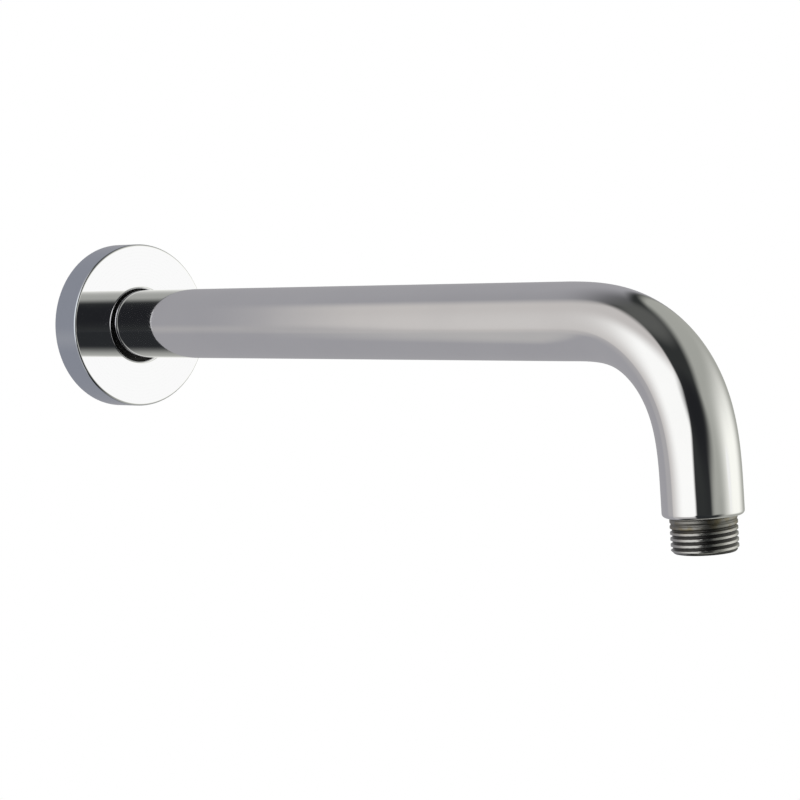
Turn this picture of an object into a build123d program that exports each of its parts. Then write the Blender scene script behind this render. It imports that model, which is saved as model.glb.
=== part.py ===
from build123d import *
from math import cos, radians, sin
import os

# Shower arm: a bent, chromed brass tube with a threaded nipple brazed into each end and a loose cover flange.
# Millimetres. The finished wall is the plane X = 0, the arm runs out along +X and the outlet points down, -Z.

# Arm tube
tube_diameter = 25.0
tube_wall = 1.5
arm_reach = 287.5  # finished wall to the axis of the outlet
wall_setback = 4.0  # the tube's back end stands this far in front of the wall
bend_radius = 38.0  # tight middle of the bend, on the centre line
bend_ease_radius = 74.0  # gentle way into and out of the bend
bend_ease_angle = 12.0  # turn taken by each gentle stretch
outlet_stub = 12.5  # straight tube below the bend
outlet_land = 0.3  # flat left on the tube's lower end inside its rounded edge

# Threaded nipples
thread_diameter = 20.955  # G1/2 parallel pipe thread, over the crests
thread_chamfer = 0.9
outlet_thread_length = 11.0
wall_thread_length = 19.0
nipple_wall = 3.0
spigot_length = 5.0  # the part of a nipple that sits inside the tube
braze_gap = 0.05

# Cover flange
flange_diameter = 60.0
flange_depth = 12.5
flange_wall = 2.0
flange_hang = 0.45  # the loose flange hangs this far below the arm's axis
face_edge_chamfer = 0.6
bore_edge_chamfer = 0.6
rim_edge_chamfer = 0.3  # edge that meets the wall
bore_clearance = 0.5  # between the tube and the bore where they come closest
rear_lip = 1.5  # lip that keeps the rubber ring in its groove
hub_wall = 2.0

# Square-cut rubber ring that grips the tube and carries the flange
ring_section = 2.5
ring_clearance = 0.05

# The tube's bend is a quarter turn that tightens towards its middle
ease_turn = radians(bend_ease_angle)
ease_span = bend_ease_radius * (sin(ease_turn) + 1 - cos(ease_turn))
bend_span = ease_span + bend_radius * (cos(ease_turn) - sin(ease_turn))
bend_start = arm_reach - bend_span
arm_drop = bend_span + outlet_stub
tube_radius = tube_diameter / 2
tube_bore_radius = tube_radius - tube_wall

# A nipple's waterway leaves the same wall under its thread or its spigot, whichever is the slimmer
thread_radius = thread_diameter / 2
spigot_radius = tube_bore_radius - braze_gap
waterway_radius = min(thread_radius, spigot_radius) - nipple_wall

# The flange's groove rests on top of the ring, and the ring sits round the tube
ring_centre_radius = tube_radius + ring_clearance + ring_section / 2
groove_radius = ring_centre_radius + ring_section / 2 + ring_clearance + flange_hang
groove_front = flange_depth - flange_wall
groove_back = groove_front - ring_section - 2 * ring_clearance
ring_station = (groove_front + groove_back) / 2
hub_back = groove_back - rear_lip
hub_radius = groove_radius + hub_wall
bore_radius = tube_radius + flange_hang + bore_clearance
flange_radius = flange_diameter / 2
cup_radius = flange_radius - flange_wall


def nipple_section(thread_length):
    # Half section of a turned nipple: X is the radius, Y runs along the thread from the shoulder
    with BuildSketch() as section:
        with BuildLine():
            Polyline(
                (waterway_radius, -spigot_length),
                (spigot_radius, -spigot_length),
                (spigot_radius, 0),
                (thread_radius, 0),
                (thread_radius, thread_length - thread_chamfer),
                (thread_radius - thread_chamfer, thread_length),
                (waterway_radius, thread_length),
                close=True,
            )
        make_face()
    return section.sketch


with BuildPart() as arm_tube:
    with BuildLine(Plane.XZ):
        run = Line((wall_setback, 0), (bend_start, 0))
        ease_in = JernArc(run @ 1, run % 1, bend_ease_radius, -bend_ease_angle)
        bend = JernArc(ease_in @ 1, ease_in % 1, bend_radius, 2 * bend_ease_angle - 90)
        ease_out = JernArc(bend @ 1, bend % 1, bend_ease_radius, -bend_ease_angle)
        Line(ease_out @ 1, (arm_reach, -arm_drop))
    with BuildSketch(Plane(origin=run @ 0, z_dir=run % 0)):
        Circle(tube_radius)
        Circle(tube_bore_radius, mode=Mode.SUBTRACT)
    sweep()
    outlet_rim = arm_tube.faces().sort_by(Axis.Z)[0].outer_wire().edges()
    fillet(outlet_rim, tube_wall - outlet_land)
arm_tube.part.label = "arm_tube"

outlet_shoulder = Plane((arm_reach, 0, -arm_drop), x_dir=(1, 0, 0), z_dir=(0, 1, 0))
with BuildPart() as outlet_nipple:
    with BuildSketch(outlet_shoulder):
        add(nipple_section(outlet_thread_length))
    revolve(axis=Axis(outlet_shoulder.origin, outlet_shoulder.y_dir))
outlet_nipple.part.label = "outlet_nipple"

wall_shoulder = Plane((wall_setback, 0, 0), x_dir=(0, 0, 1), z_dir=(0, -1, 0))
with BuildPart() as wall_nipple:
    with BuildSketch(wall_shoulder):
        add(nipple_section(wall_thread_length))
    revolve(axis=Axis(wall_shoulder.origin, wall_shoulder.y_dir))
wall_nipple.part.label = "wall_nipple"

# Turned cup, open at the wall, with a hub behind its face that holds the rubber ring round the tube
flange_section = Plane.XZ.shift_origin((0, 0, -flange_hang))
with BuildPart() as wall_flange:
    with BuildSketch(flange_section):
        with BuildLine():
            Polyline(
                (0, cup_radius),
                (0, flange_radius),
                (flange_depth, flange_radius),
                (flange_depth, bore_radius),
                (groove_front, bore_radius),
                (groove_front, groove_radius),
                (groove_back, groove_radius),
                (groove_back, bore_radius),
                (hub_back, bore_radius),
                (hub_back, hub_radius),
                (groove_front, hub_radius),
                (groove_front, cup_radius),
                close=True,
            )
        make_face()
    revolve(axis=Axis(flange_section.origin, flange_section.x_dir))
    chamfer(wall_flange.edges().group_by(Axis.X)[-1].sort_by(SortBy.RADIUS)[-1], face_edge_chamfer)
    chamfer(wall_flange.edges().group_by(Axis.X)[-1].sort_by(SortBy.RADIUS)[0], bore_edge_chamfer)
    chamfer(wall_flange.edges().group_by(Axis.X)[0].sort_by(SortBy.RADIUS)[-1], rim_edge_chamfer)
wall_flange.part.label = "wall_flange"

with BuildPart() as flange_ring:
    with BuildSketch(Plane.XZ):
        with Locations((ring_station, ring_centre_radius)):
            Rectangle(ring_section, ring_section)
    revolve(axis=Axis.X)
flange_ring.part.label = "flange_ring"

os.makedirs("parts", exist_ok=True)
export_step(arm_tube.part, "parts/arm_tube.step")
export_step(outlet_nipple.part, "parts/outlet_nipple.step")
export_step(wall_nipple.part, "parts/wall_nipple.step")
export_step(wall_flange.part, "parts/wall_flange.step")
export_step(flange_ring.part, "parts/flange_ring.step")
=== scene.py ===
import bpy
import numpy as np
from math import cos, pi, radians, sin, tan
from mathutils import Matrix, Vector


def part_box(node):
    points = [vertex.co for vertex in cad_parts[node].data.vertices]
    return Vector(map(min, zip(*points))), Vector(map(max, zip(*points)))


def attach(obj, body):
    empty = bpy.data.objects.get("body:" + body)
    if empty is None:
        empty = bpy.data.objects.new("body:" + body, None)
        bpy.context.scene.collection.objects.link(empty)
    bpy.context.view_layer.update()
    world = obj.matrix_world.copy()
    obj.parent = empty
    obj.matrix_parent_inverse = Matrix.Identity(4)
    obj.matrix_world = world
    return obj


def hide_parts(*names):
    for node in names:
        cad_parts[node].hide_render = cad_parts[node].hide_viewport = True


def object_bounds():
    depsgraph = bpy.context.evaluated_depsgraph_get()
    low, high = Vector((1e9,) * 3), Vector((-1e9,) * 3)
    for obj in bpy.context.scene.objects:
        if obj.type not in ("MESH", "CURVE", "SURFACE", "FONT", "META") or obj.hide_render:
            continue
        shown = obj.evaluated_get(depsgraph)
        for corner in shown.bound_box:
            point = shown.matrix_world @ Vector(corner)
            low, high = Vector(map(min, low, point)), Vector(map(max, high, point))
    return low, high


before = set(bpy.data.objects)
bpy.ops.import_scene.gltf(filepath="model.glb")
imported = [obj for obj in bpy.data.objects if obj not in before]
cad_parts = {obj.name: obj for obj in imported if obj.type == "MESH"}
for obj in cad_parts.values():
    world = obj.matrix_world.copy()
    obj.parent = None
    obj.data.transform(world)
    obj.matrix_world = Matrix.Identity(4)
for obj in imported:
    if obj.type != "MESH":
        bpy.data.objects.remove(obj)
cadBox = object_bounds()
mm = 0.001
print("frame loaded:", ", ".join(sorted(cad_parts)))


def linearColour(hexText):
    # sRGB hex to the linear colour that the shaders take
    parts = [int(hexText[i:i + 2], 16) / 255 for i in (1, 3, 5)]
    return [p / 12.92 if p <= 0.04045 else ((p + 0.055) / 1.055) ** 2.4 for p in parts] + [1.0]


mixFactor, mixFirst, mixSecond = 0, 6, 7  # inputs of a Mix node that mixes colours
mixResult = 2  # and its output


def addNode(tree, kind, inputs, **settings):
    # one node with its settings; an input is a value or another node's output
    node = tree.nodes.new("ShaderNode" + kind)
    for option, value in settings.items():
        setattr(node, option, value)
    for socket, value in inputs.items():
        if isinstance(value, bpy.types.NodeSocket):
            tree.links.new(value, node.inputs[socket])
        else:
            node.inputs[socket].default_value = value
    return node


def newMaterial(name):
    material = bpy.data.materials.new(name)
    material.use_nodes = True
    material.node_tree.nodes.clear()
    return material, material.node_tree


sharpAngle = 35  # degrees; a steeper turn from face to face stays a crisp edge


def skinOfRings(name, rings, material, body, node):
    # rings of points, each bridged to the next and the last to the first, make a closed skin
    count, around = len(rings), len(rings[0])
    corners = []
    for i in range(count):
        j = (i + 1) % count
        for k in range(around):
            m = (k + 1) % around
            corners.append((i * around + k, i * around + m, j * around + m, j * around + k))
    mesh = bpy.data.meshes.new(name)
    mesh.from_pydata(np.concatenate(rings).tolist(), [], corners)
    mesh.shade_smooth()
    mesh.set_sharp_from_angle(angle=radians(sharpAngle))
    mesh.materials.append(material)
    piece = bpy.data.objects.new(name, mesh)
    bpy.context.scene.collection.objects.link(piece)
    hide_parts(node)
    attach(piece, body)
    print(name, "has", 2 * len(corners), "triangles")
    return piece


def turnedRings(section, base, axis, side, around, threadRadius=None):
    # rings of a turned piece; a row with no radius of its own is cut by threadRadius(along, turn)
    turns = np.arange(around) / around
    across = axis.cross(side)
    spokes = np.outer(np.cos(2 * pi * turns), side) + np.outer(np.sin(2 * pi * turns), across)
    rings = []
    for along, radius in section:
        if radius is None:
            reach = np.array([threadRadius(along, turn) for turn in turns])
        else:
            reach = np.full(around, radius)
        rings.append(np.array(base + axis * along) + spokes * reach[:, None])
    return rings


# Bright chrome on buffed brass tube: a mirror with a faint haze and long, shallow polishing lines
buffedChrome = {
    "colour": "#f1f1f3",
    "hazeColour": "#e9e9ec",
    "hazePatch": 22 * mm,
    "hazeStart": 0.3,  # level of the noise where the haze starts
    "hazeFull": 0.7,
    "clear": 0.025,  # roughness where the buff left it clearest
    "hazy": 0.055,
    "lineLength": 70 * mm,
    "lineWidth": 5 * mm,
    "lineDepth": 0.004 * mm,
}


def makeBuffedChrome(look):
    material, tree = newMaterial("bright_chrome_on_buffed_brass")
    place = addNode(tree, "Attribute", {}, attribute_name="straightTube").outputs["Vector"]
    patches = addNode(tree, "TexNoise", {"Vector": place, "Scale": 1 / look["hazePatch"], "Detail": 3.0})
    colour = addNode(tree, "Mix", {
        mixFactor: patches.outputs["Fac"],
        mixFirst: linearColour(look["colour"]),
        mixSecond: linearColour(look["hazeColour"]),
    }, data_type="RGBA")
    haze = addNode(tree, "MapRange", {
        "Value": patches.outputs["Fac"],
        "From Min": look["hazeStart"],
        "From Max": look["hazeFull"],
        "To Min": look["clear"],
        "To Max": look["hazy"],
    })
    stretch = (1 / look["lineLength"], 1 / look["lineWidth"], 1 / look["lineWidth"])
    drawn = addNode(tree, "VectorMath", {0: place, 1: stretch}, operation="MULTIPLY")
    lines = addNode(tree, "TexNoise", {"Vector": drawn.outputs["Vector"], "Scale": 1.0, "Detail": 1.0})
    bump = addNode(tree, "Bump", {
        "Height": lines.outputs["Fac"],
        "Strength": 1.0,
        "Distance": look["lineDepth"],
    })
    metal = addNode(tree, "BsdfPrincipled", {
        "Base Color": colour.outputs[mixResult],
        "Metallic": 1.0,
        "Roughness": haze.outputs["Result"],
        "Normal": bump.outputs["Normal"],
    })
    addNode(tree, "OutputMaterial", {"Surface": metal.outputs["BSDF"]})
    return material


# The arm: straight run, bend and drop. Its curve tightens little by little, and a bent tube flattens a touch.
armTube = {
    "wall": 1.5 * mm,
    "tightRadius": 37.2 * mm,
    "easeLength": 29 * mm,  # the curve grows over this length and dies away over as much
    "flatten": 0.055,
    "flattenSpread": 0.7,  # under 1 spreads the flattening towards the ends of the bend
    "endRound": 1.2 * mm,
    "around": 160,
    "runRows": 60,
    "bendRows": 150,
    "stepsPerRow": 12,  # small steps that add up to one row of the bend
    "dropRows": 12,
    "endRows": 8,
    "boreStride": 3,  # the bore is seldom seen and keeps every third row
}


def tubePath(look):
    # centre line in the plane Y = 0: points, their headings down from level, and the length so far
    low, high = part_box("arm_tube")
    radius = (high.y - low.y) / 2
    tight, ease, fine = look["tightRadius"], look["easeLength"], look["stepsPerRow"]
    bendLength = tight * pi / 2 + ease
    steps = np.linspace(0, bendLength, fine * look["bendRows"] + 1)
    growing = steps ** 2 / (2 * ease * tight)
    dying = pi / 2 - (bendLength - steps) ** 2 / (2 * ease * tight)
    heading = np.where(steps < ease, growing, (steps - ease / 2) / tight)
    heading = np.where(steps > bendLength - ease, dying, heading)
    middle = (heading[1:] + heading[:-1]) / 2
    x = np.concatenate([[0], np.cumsum(np.cos(middle))]) * steps[1]
    z = -np.concatenate([[0], np.cumsum(np.sin(middle))]) * steps[1]
    x, z, heading = x[::fine], z[::fine], heading[::fine]
    bendStart = high.x - radius - x[-1]
    run = np.linspace(low.x, bendStart, look["runRows"])[:-1]
    drop = np.linspace(z[-1], low.z + look["endRound"], look["dropRows"])[1:]
    points = np.concatenate([
        np.stack([run, 0 * run], 1),
        np.stack([bendStart + x, z], 1),
        np.stack([0 * drop + high.x - radius, drop], 1),
    ])
    headings = np.concatenate([0 * run, heading, 0 * drop + pi / 2])
    lengths = np.concatenate([[0], np.cumsum(np.linalg.norm(np.diff(points, axis=0), axis=1))])
    return points, headings, lengths, radius


def makeArmTube(look, material):
    points, headings, lengths, radius = tubePath(look)
    bore = radius - look["wall"]
    turns = 2 * pi * np.arange(look["around"]) / look["around"]
    bent = np.clip(np.sin(2 * headings), 0, 1)  # nothing on the straights, most in the middle of the bend
    give = bent ** look["flattenSpread"] * look["flatten"]
    rings, straight = [], []

    def addRing(row, reach, ahead=0.0):
        across = reach * (1 + give[row]) * np.cos(turns)
        outward = reach * (1 - give[row]) * np.sin(turns)
        x = points[row, 0] + ahead * cos(headings[row]) + outward * sin(headings[row])
        z = points[row, 1] - ahead * sin(headings[row]) + outward * cos(headings[row])
        rings.append(np.stack([x, across, z], 1))
        straight.append(np.stack([0 * turns + lengths[row] + ahead, across, outward], 1))

    last = len(points) - 1
    for row in range(last + 1):
        addRing(row, radius)
    for k in range(1, look["endRows"] + 1):
        tip = k / look["endRows"] * pi / 2
        addRing(last, radius - look["endRound"] * (1 - cos(tip)), look["endRound"] * sin(tip))
    addRing(last, bore, look["endRound"])
    for row in range(last, -1, -look["boreStride"]):
        addRing(row, bore)
    addRing(0, bore)
    piece = skinOfRings("polishedArm", rings, material, "arm", "arm_tube")
    unbent = piece.data.attributes.new("straightTube", "FLOAT_VECTOR", "POINT")
    unbent.data.foreach_set("vector", np.concatenate(straight).ravel())


makeArmTube(armTube, makeBuffedChrome(buffedChrome))

# Thin plate on a die-cut brass thread: worn, shiny crests over valleys darkened with painted shade, and a
# dull, slightly brassy lead
platedThread = {
    "crestColour": "#c4c3c2",
    # painted shade: the dark colour the thread's valleys are mixed towards
    "valleyShadeColour": "#303032",
    "dullColour": "#969592",
    "brassColour": "#8d8572",
    "leadFrom": 5.0 * mm,
    "leadTo": 3.0 * mm,
    "patch": 3.0 * mm,
    "brassStart": 0.45,  # level of the noise where the brass starts to show
    "brassFull": 0.65,
    "chatter": 0.5 * mm,
    "chatterDepth": 0.0004 * mm,
    "smooth": 0.22,
    "rough": 0.36,
}


def makePlatedThread(look):
    material, tree = newMaterial("thin_plate_on_die_cut_brass")
    place = addNode(tree, "TexCoord", {}).outputs["Object"]
    along = addNode(tree, "Attribute", {}, attribute_name="fromShoulder").outputs["Fac"]
    valley = addNode(tree, "Attribute", {}, attribute_name="cutDepth").outputs["Fac"]
    lead = addNode(tree, "MapRange", {
        "Value": along,
        "From Min": look["leadFrom"],
        "From Max": look["leadTo"],
    })
    patches = addNode(tree, "TexNoise", {"Vector": place, "Scale": 1 / look["patch"], "Detail": 3.0})
    chatter = addNode(tree, "TexNoise", {"Vector": place, "Scale": 1 / look["chatter"], "Detail": 1.0})
    brassy = addNode(tree, "MapRange", {
        "Value": patches.outputs["Fac"],
        "From Min": look["brassStart"],
        "From Max": look["brassFull"],
    })
    worn = addNode(tree, "Mix", {
        mixFactor: brassy.outputs["Result"],
        mixFirst: linearColour(look["dullColour"]),
        mixSecond: linearColour(look["brassColour"]),
    }, data_type="RGBA")
    crest = addNode(tree, "Mix", {
        mixFactor: lead.outputs["Result"],
        mixFirst: linearColour(look["crestColour"]),
        mixSecond: worn.outputs[mixResult],
    }, data_type="RGBA")
    # painted shade: the deeper the cut, the nearer the colour comes to the dark valley colour
    colour = addNode(tree, "Mix", {
        mixFactor: valley,
        mixFirst: crest.outputs[mixResult],
        mixSecond: linearColour(look["valleyShadeColour"]),
    }, data_type="RGBA")
    dulled = addNode(tree, "Math", {0: lead.outputs["Result"], 1: valley}, operation="MAXIMUM")
    dull = addNode(tree, "MapRange", {
        "Value": dulled.outputs[0],
        "To Min": look["smooth"],
        "To Max": look["rough"],
    })
    bump = addNode(tree, "Bump", {
        "Height": chatter.outputs["Fac"],
        "Strength": 1.0,
        "Distance": look["chatterDepth"],
    })
    metal = addNode(tree, "BsdfPrincipled", {
        "Base Color": colour.outputs[mixResult],
        "Metallic": 1.0,
        "Roughness": dull.outputs["Result"],
        "Normal": bump.outputs["Normal"],
    })
    addNode(tree, "OutputMaterial", {"Surface": metal.outputs["BSDF"]})
    return material


# The two nipples: right-hand G1/2 pipe thread, die cut on slightly slim stock, so its crests are flat
pipeThread = {
    "pitch": 1.814 * mm,
    "crestRadius": 10.30 * mm,
    "rootRadius": 9.50 * mm,
    "crestWidth": 0.70 * mm,
    "flankAngle": 27.5,
    "rootBlend": 3,  # a lower value lets the flank run into the rounded root sooner
    "chamfer": 0.9 * mm,
    "spigotLength": 5.0 * mm,
    "spigotRadius": 10.95 * mm,
    "waterway": 7.4775 * mm,
    "fullDepthAfter": 4.0 * mm,  # the die's lead leaves shallow turns up to here
    "leadDepth": 0.25,
    "startTurn": 0.3,
    "rowsPerTurn": 30,
    "around": 176,
}


def threadSection(look, length):
    # rows of the nipple from inside the tube, along the thread and back through the waterway
    rows = int(length / look["pitch"] * look["rowsPerTurn"])
    back = -look["spigotLength"]
    section = [(back, look["waterway"]), (back, look["spigotRadius"]), (0.0, look["spigotRadius"])]
    section += [(length * k / rows, None) for k in range(rows + 1)]
    section += [(length, look["waterway"])]
    return section


def makeNipple(name, look, length, base, axis, side, material, node):
    slope = 1 / tan(radians(look["flankAngle"]))
    depth = look["crestRadius"] - look["rootRadius"]
    blend = look["rootBlend"]

    def threadRadius(along, turn):
        phase = (along / look["pitch"] - turn - look["startTurn"]) % 1.0
        fromCrest = min(phase, 1 - phase) * look["pitch"]
        cut = max(0.0, fromCrest - look["crestWidth"] / 2) * slope
        soft = cut / (1 + (cut / depth) ** blend) ** (1 / blend)
        grown = (along / look["fullDepthAfter"]) ** 2
        lead = min(1.0, look["leadDepth"] + (1 - look["leadDepth"]) * grown)
        chamferLine = look["crestRadius"] - max(0.0, along - (length - look["chamfer"]))
        return min(look["crestRadius"] - soft * lead, chamferLine)

    section = threadSection(look, length)
    rings = turnedRings(section, base, axis, side, look["around"], threadRadius)
    piece = skinOfRings(name, rings, material, "arm", node)
    shoulder = piece.data.attributes.new("fromShoulder", "FLOAT", "POINT")
    shoulder.data.foreach_set("value", np.repeat([along for along, radius in section], look["around"]))
    reach = np.linalg.norm(np.cross(np.concatenate(rings) - np.array(base), axis), axis=1)
    # the cut depth also lays the painted shade in the thread's valleys
    valley = piece.data.attributes.new("cutDepth", "FLOAT", "POINT")
    valley.data.foreach_set("value", np.clip((look["crestRadius"] - reach) / depth, 0, 1))


threadFinish = makePlatedThread(platedThread)
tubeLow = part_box("arm_tube")[0]
outletLow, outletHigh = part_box("outlet_nipple")
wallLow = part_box("wall_nipple")[0]
outletBase = Vector(((outletLow.x + outletHigh.x) / 2, 0, tubeLow.z))
wallBase = Vector((tubeLow.x, 0, 0))
makeNipple("outletThread", pipeThread, tubeLow.z - outletLow.z, outletBase, Vector((0, 0, -1)),
           Vector((1, 0, 0)), threadFinish, "outlet_nipple")
makeNipple("wallThread", pipeThread, tubeLow.x - wallLow.x, wallBase, Vector((-1, 0, 0)),
           Vector((0, 0, 1)), threadFinish, "wall_nipple")

# Bright chrome on turned brass: a mirror face with faint rings from the lathe, and a satin rim with painted
# shade, darker and a little blue
turnedChrome = {
    "colour": "#fbfbff",
    "ringColour": "#fafafe",
    # painted shade: the rim's colour, darker and bluer than the face
    "rimShadeColour": "#c9d0dc",
    "ringSpacing": 1.2 * mm,  # the tool's feed is nearer 0.1 mm, drawn coarser so that it shows close up
    "ringWander": 1.5,
    "ringDepth": 0.00001 * mm,
    "clear": 0.030,
    "hazy": 0.034,
    "satin": 0.12,
    "rimDepth": 0.4 * mm,  # the satin and the painted shade start this far inside the rim
}
waveRepeat = pi / 10  # metres from ring to ring in a Wave texture of scale 1


def makeTurnedChrome(look, radius, hang):
    material, tree = newMaterial("bright_chrome_on_turned_brass")
    place = addNode(tree, "TexCoord", {}).outputs["Object"]
    centred = addNode(tree, "VectorMath", {0: place, 1: (0, 0, hang)}, operation="ADD")
    rings = addNode(tree, "TexWave", {
        "Vector": centred.outputs["Vector"],
        "Scale": waveRepeat / look["ringSpacing"],
        "Distortion": look["ringWander"],
        "Detail": 2.0,
    }, wave_type="RINGS", rings_direction="X")
    flat = addNode(tree, "VectorMath", {0: centred.outputs["Vector"], 1: (0, 1, 1)}, operation="MULTIPLY")
    reach = addNode(tree, "VectorMath", {0: flat.outputs["Vector"]}, operation="LENGTH")
    rim = addNode(tree, "MapRange", {
        "Value": reach.outputs["Value"],
        "From Min": radius - look["rimDepth"],
        "From Max": radius,
    })
    face = addNode(tree, "Mix", {
        mixFactor: rings.outputs["Fac"],
        mixFirst: linearColour(look["colour"]),
        mixSecond: linearColour(look["ringColour"]),
    }, data_type="RGBA")
    # painted shade on the rim: its colour is mixed towards the darker, bluer rim colour
    colour = addNode(tree, "Mix", {
        mixFactor: rim.outputs["Result"],
        mixFirst: face.outputs[mixResult],
        mixSecond: linearColour(look["rimShadeColour"]),
    }, data_type="RGBA")
    polish = addNode(tree, "MapRange", {
        "Value": rings.outputs["Fac"],
        "To Min": look["clear"],
        "To Max": look["hazy"],
    })
    haze = addNode(tree, "MapRange", {
        "Value": rim.outputs["Result"],
        "To Min": polish.outputs["Result"],
        "To Max": look["satin"],
    })
    bump = addNode(tree, "Bump", {
        "Height": rings.outputs["Fac"],
        "Strength": 1.0,
        "Distance": look["ringDepth"],
    })
    metal = addNode(tree, "BsdfPrincipled", {
        "Base Color": colour.outputs[mixResult],
        "Metallic": 1.0,
        "Roughness": haze.outputs["Result"],
        "Normal": bump.outputs["Normal"],
    })
    addNode(tree, "OutputMaterial", {"Surface": metal.outputs["BSDF"]})
    return material


# The loose cover flange: a turned cup with a hub that holds the rubber ring
coverFlange = {
    "wall": 2.0 * mm,
    "bore": 13.45 * mm,
    "groove": 15.55 * mm,
    "grooveWidth": 2.6 * mm,
    "rearLip": 1.5 * mm,
    "hubWall": 2.0 * mm,
    "faceRound": 0.7 * mm,
    "boreRound": 1.0 * mm,
    "rimRound": 0.3 * mm,
    "innerRound": 0.2 * mm,
    "arcSteps": 6,
    "edgeSupport": 0.04 * mm,  # a ring this close to an arc keeps the flat beside it flat
    "around": 256,
}


def roundCorners(look, corners):
    # a turned section: each corner is (along, radius, rounding), and a rounded one becomes an arc
    points = []
    count = len(corners)
    for i, (along, radius, rounding) in enumerate(corners):
        here = Vector((along, radius))
        if rounding == 0:
            points.append(here)
            continue
        towards = [(Vector(corners[(i + s) % count][:2]) - here).normalized() for s in (-1, 1)]
        half = towards[0].angle(towards[1]) / 2
        middle = here + (towards[0] + towards[1]).normalized() * rounding / sin(half)
        ends = [here + way * rounding / tan(half) for way in towards]
        points.append(ends[0] + towards[0] * look["edgeSupport"])
        for k in range(look["arcSteps"] + 1):
            spoke = (ends[0] - middle).slerp(ends[1] - middle, k / look["arcSteps"]).normalized()
            points.append(middle + spoke * rounding)
        points.append(ends[1] + towards[1] * look["edgeSupport"])
    return points


def makeCoverFlange(look):
    low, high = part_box("wall_flange")
    radius, depth = (high.y - low.y) / 2, high.x - low.x
    hang = -(low.z + high.z) / 2
    cup = radius - look["wall"]
    grooveFront = depth - look["wall"]
    grooveBack = grooveFront - look["grooveWidth"]
    hubBack = grooveBack - look["rearLip"]
    hub = look["groove"] + look["hubWall"]
    section = roundCorners(look, [
        (0, cup, look["innerRound"]),
        (0, radius, look["rimRound"]),
        (depth, radius, look["faceRound"]),
        (depth, look["bore"], look["boreRound"]),
        (grooveFront, look["bore"], 0),
        (grooveFront, look["groove"], 0),
        (grooveBack, look["groove"], 0),
        (grooveBack, look["bore"], 0),
        (hubBack, look["bore"], look["innerRound"]),
        (hubBack, hub, look["innerRound"]),
        (grooveFront, hub, 0),
        (grooveFront, cup, 0),
    ])
    base, axis, side = Vector((low.x, 0, -hang)), Vector((1, 0, 0)), Vector((0, 0, 1))
    rings = turnedRings(section, base, axis, side, look["around"])
    finish = makeTurnedChrome(turnedChrome, radius, hang)
    skinOfRings("turnedFlange", rings, finish, "cover", "wall_flange")


makeCoverFlange(coverFlange)

# Moulded black rubber: soft dull black with a fine eroded-mould grain
mouldedRubber = {
    "colour": "#141415",
    "dustColour": "#232324",
    "grain": 0.25 * mm,
    "grainDepth": 0.02 * mm,
    "roughness": 0.62,
}


def makeMouldedRubber(look):
    material, tree = newMaterial("moulded_black_rubber")
    place = addNode(tree, "TexCoord", {}).outputs["Object"]
    grain = addNode(tree, "TexNoise", {"Vector": place, "Scale": 1 / look["grain"], "Detail": 2.0})
    colour = addNode(tree, "Mix", {
        mixFactor: grain.outputs["Fac"],
        mixFirst: linearColour(look["colour"]),
        mixSecond: linearColour(look["dustColour"]),
    }, data_type="RGBA")
    bump = addNode(tree, "Bump", {
        "Height": grain.outputs["Fac"],
        "Strength": 1.0,
        "Distance": look["grainDepth"],
    })
    rubber = addNode(tree, "BsdfPrincipled", {
        "Base Color": colour.outputs[mixResult],
        "Roughness": look["roughness"],
        "Normal": bump.outputs["Normal"],
    })
    addNode(tree, "OutputMaterial", {"Surface": rubber.outputs["BSDF"]})
    return material


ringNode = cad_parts["flange_ring"]
ringNode.data.materials.clear()
ringNode.data.materials.append(makeMouldedRubber(mouldedRubber))
print("pieces and finishes made")

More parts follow.
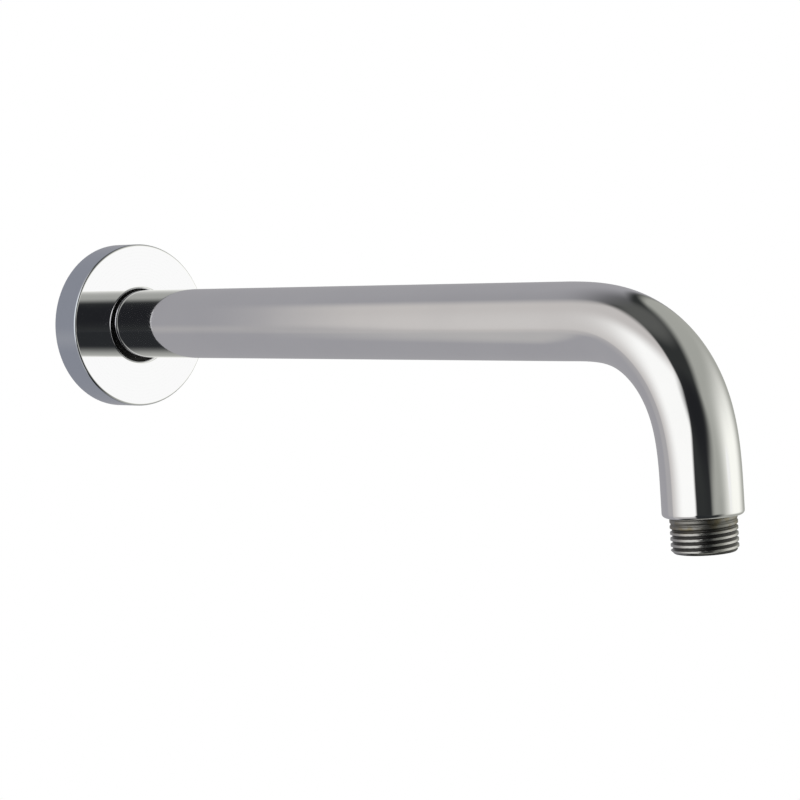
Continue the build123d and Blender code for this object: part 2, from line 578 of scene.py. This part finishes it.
# The studio as the arm sees it: a white backdrop with cards in front of it, each over those before it.
# A card has its corners, or its centre and radius, in degrees round from -Y towards +X and up from level.
# Softness is in degrees too, one value for each edge.
studio = {
    "backdrop": "#ffffff",
    "roomLevel": 0.6,  # even grey light for all that isn't a mirror
    "cards": [
        {"name": "tableTop", "centre": (0, -90), "radius": 80, "soft": 4, "colour": "#bcbab8"},
        {"name": "darkFloor", "centre": (0, -90), "radius": 39, "soft": 3, "colour": "#2a2b2b"},
        {"name": "underside", "centre": (0, -90), "radius": 14, "soft": 8, "colour": "#96958e"},
        {"name": "darkRoom", "centre": (0, 90), "radius": 103, "soft": 3, "colour": "#333534"},
        {"name": "ceiling", "centre": (0, 90), "radius": 18, "soft": 12, "colour": "#5c5d5a"},
        {"name": "sideWall", "corners": [(-152, -52), (-76, -52), (-51.5, -14), (-62, 53), (-142, 53)],
         "soft": [3, 3, 3, 20, 3], "colour": "#a5a4a7"},
        {"name": "backWall", "corners": [(66, -10), (72, -62), (228, -62), (205, 56)],
         "soft": [4, 6, 3, 8], "colour": "#acada5"},
        {"name": "backGlow", "corners": [(116, -18), (178, -18), (178, 17), (116, 17)],
         "soft": [12, 22, 20, 24], "colour": "#fffff6", "level": 1.1},
        {"name": "belowLens", "corners": [(20, -62), (108, -62), (95, -9), (20, -7)],
         "soft": [6, 16, 3, 3], "colour": "#2b2d2e"},
        {"name": "keyWall",
         "corners": [(-69, -13), (17, -13), (38, 9), (45, 32), (41, 47), (25, 65), (-66, 62)],
         "soft": [5, 3, 3, 3, 3, 6, 7], "colour": "#ccc8c4"},
        {"name": "keyGlow", "corners": [(-33, -13), (17, -13), (38, 9), (45, 32), (41, 41), (-33, 38)],
         "soft": [4, 3, 3, 3, 12, 22], "colour": "#fffffb", "level": 1.12},
        {"name": "sideRound", "centre": (-90, 0), "radius": 39.6, "soft": 1.8, "colour": "#a5a4a7"},
        {"name": "keySpill", "corners": [(-71, -14), (-50, -14), (-50, -3), (-71, -3)],
         "soft": [6, 2, 6, 5], "colour": "#b2b0b0"},
        {"name": "faceGlow", "centre": (126.7, -2.8), "radius": 4.5, "soft": 3, "colour": "#fefefa"},
        {"name": "lensSide", "centre": (62, 18), "radius": 18, "soft": 14, "colour": "#232426"},
    ],
}


def lookingAt(roundAngle, upAngle):
    # the way from the arm to a place in the studio
    r, u = radians(roundAngle), radians(upAngle)
    return Vector((sin(r) * cos(u), -cos(r) * cos(u), sin(u)))


def cardEdges(card):
    # each edge is a circle on the sky: its axis, and the cosines where the card starts and is full
    if "radius" in card:
        outside = cos(radians(card["radius"] + card["soft"]))
        inside = cos(radians(card["radius"] - card["soft"]))
        return [(lookingAt(*card["centre"]), outside, inside)]
    edges = []
    for i, soft in enumerate(card["soft"]):
        following = card["corners"][(i + 1) % len(card["corners"])]
        axis = lookingAt(*card["corners"][i]).cross(lookingAt(*following)).normalized()
        edges.append((axis, -sin(radians(soft)), sin(radians(soft))))
    return edges


def makeStudio(look):
    world = bpy.data.worlds.new("studio")
    bpy.context.scene.world = world
    world.use_nodes = True
    tree = world.node_tree
    tree.nodes.clear()
    direction = addNode(tree, "TexCoord", {}).outputs["Generated"]
    ray = addNode(tree, "LightPath", {}).outputs
    mirrored = addNode(tree, "Math", {
        0: ray["Is Glossy Ray"],
        1: ray["Is Transmission Ray"],
    }, operation="MAXIMUM")
    room = [look["roomLevel"]] * 3 + [1.0]
    colour = addNode(tree, "Mix", {
        mixFactor: mirrored.outputs[0],
        mixFirst: room,
        mixSecond: linearColour(look["backdrop"]),
    }, data_type="RGBA").outputs[mixResult]
    for card in look["cards"]:
        cover = None
        for axis, outside, inside in cardEdges(card):
            facing = addNode(tree, "VectorMath", {0: direction, 1: axis}, operation="DOT_PRODUCT")
            edge = addNode(tree, "MapRange", {
                "Value": facing.outputs["Value"],
                "From Min": outside,
                "From Max": inside,
            }, interpolation_type="SMOOTHSTEP").outputs["Result"]
            if cover is None:
                cover = edge
            else:
                cover = addNode(tree, "Math", {0: cover, 1: edge}, operation="MULTIPLY").outputs[0]
        paint = [channel * card.get("level", 1.0) for channel in linearColour(card["colour"])]
        colour = addNode(tree, "Mix", {
            mixFactor: cover,
            mixFirst: colour,
            mixSecond: paint,
        }, data_type="RGBA", label=card["name"]).outputs[mixResult]
    seen = addNode(tree, "Mix", {
        mixFactor: ray["Is Camera Ray"],
        mixFirst: colour,
        mixSecond: linearColour(look["backdrop"]),
    }, data_type="RGBA")
    sky = addNode(tree, "Background", {"Color": seen.outputs[mixResult], "Strength": 1.0})
    addNode(tree, "OutputWorld", {"Surface": sky.outputs["Background"]})


makeStudio(studio)

# Matt painted floor well below the arm: pale, faintly mottled, fading out into the white backdrop
paleFloor = {
    "colour": "#efeeec",
    "mottleColour": "#e8e7e5",
    "drop": 0.45,  # metres below the arm's axis
    "radius": 0.60,
    "fadeFrom": 0.35,
    "mottle": 60 * mm,
    "roughness": 0.7,
    "around": 96,
}


def makeFloor(look):
    material, tree = newMaterial("matt_painted_floor")
    place = addNode(tree, "TexCoord", {}).outputs["Object"]
    mottle = addNode(tree, "TexNoise", {"Vector": place, "Scale": 1 / look["mottle"], "Detail": 3.0})
    colour = addNode(tree, "Mix", {
        mixFactor: mottle.outputs["Fac"],
        mixFirst: linearColour(look["colour"]),
        mixSecond: linearColour(look["mottleColour"]),
    }, data_type="RGBA")
    paint = addNode(tree, "BsdfDiffuse", {"Color": colour.outputs[mixResult], "Roughness": look["roughness"]})
    clear = addNode(tree, "BsdfTransparent", {})
    distance = addNode(tree, "VectorMath", {0: place}, operation="LENGTH")
    fade = addNode(tree, "MapRange", {
        "Value": distance.outputs["Value"],
        "From Min": look["fadeFrom"],
        "From Max": look["radius"],
    }, interpolation_type="SMOOTHSTEP")
    shown = addNode(tree, "MixShader", {
        0: fade.outputs["Result"],
        1: paint.outputs["BSDF"],
        2: clear.outputs["BSDF"],
    })
    addNode(tree, "OutputMaterial", {"Surface": shown.outputs["Shader"]})
    turns = [2 * pi * k / look["around"] for k in range(look["around"])]
    edge = [(look["radius"] * cos(turn), look["radius"] * sin(turn), 0) for turn in turns]
    mesh = bpy.data.meshes.new("paleFloor")
    mesh.from_pydata(edge, [], [tuple(range(look["around"]))])
    mesh.materials.append(material)
    floor = bpy.data.objects.new("paleFloor", mesh)
    floor.location = ((cadBox[0].x + cadBox[1].x) / 2, 0, -look["drop"])
    floor.visible_glossy = False  # the chrome sees the studio's own table and floor instead
    bpy.context.scene.collection.objects.link(floor)


makeFloor(paleFloor)

# One wide soft lamp overhead lights the floor and lays the arm's shadow on it
softLamp = {
    "size": 1.2,
    "place": (0.1, -0.6, 1.4),
    "aim": (0.15, 0, -paleFloor["drop"]),
    "watts": 24,
}


def makeSoftLamp(look):
    light = bpy.data.lights.new("softLamp", "AREA")
    light.shape = "DISK"
    light.size = look["size"]
    light.energy = look["watts"]
    lamp = bpy.data.objects.new("softLamp", light)
    lamp.location = look["place"]
    aim = Vector(look["aim"]) - lamp.location
    lamp.rotation_euler = aim.to_track_quat("-Z", "Y").to_euler()
    lamp.visible_glossy = False  # the chrome already sees its cards
    lamp.visible_camera = False
    bpy.context.scene.collection.objects.link(lamp)


makeSoftLamp(softLamp)
print("studio, floor and lamp made")

# The camera stands at the outlet's side, a little above the arm and rolled slightly
shot = {
    "place": (0.8574, -0.6273, 0.0512),
    "roundAngle": 48.27,
    "upAngle": 4.69,
    "rollAngle": -3.81,
    "lens": 126.9,
    "sensor": 36.0,
}


def makeCamera(look):
    data = bpy.data.cameras.new("shot")
    data.lens = look["lens"]
    data.sensor_width = look["sensor"]
    camera = bpy.data.objects.new("shot", data)
    turn = Matrix.Rotation(radians(look["roundAngle"]), 4, "Z")
    tilt = Matrix.Rotation(radians(90 - look["upAngle"]), 4, "X")
    roll = Matrix.Rotation(radians(look["rollAngle"]), 4, "Z")
    camera.matrix_world = Matrix.Translation(look["place"]) @ turn @ tilt @ roll
    bpy.context.scene.collection.objects.link(camera)
    bpy.context.scene.camera = camera


makeCamera(shot)
bpy.context.scene.view_settings.view_transform = "Standard"
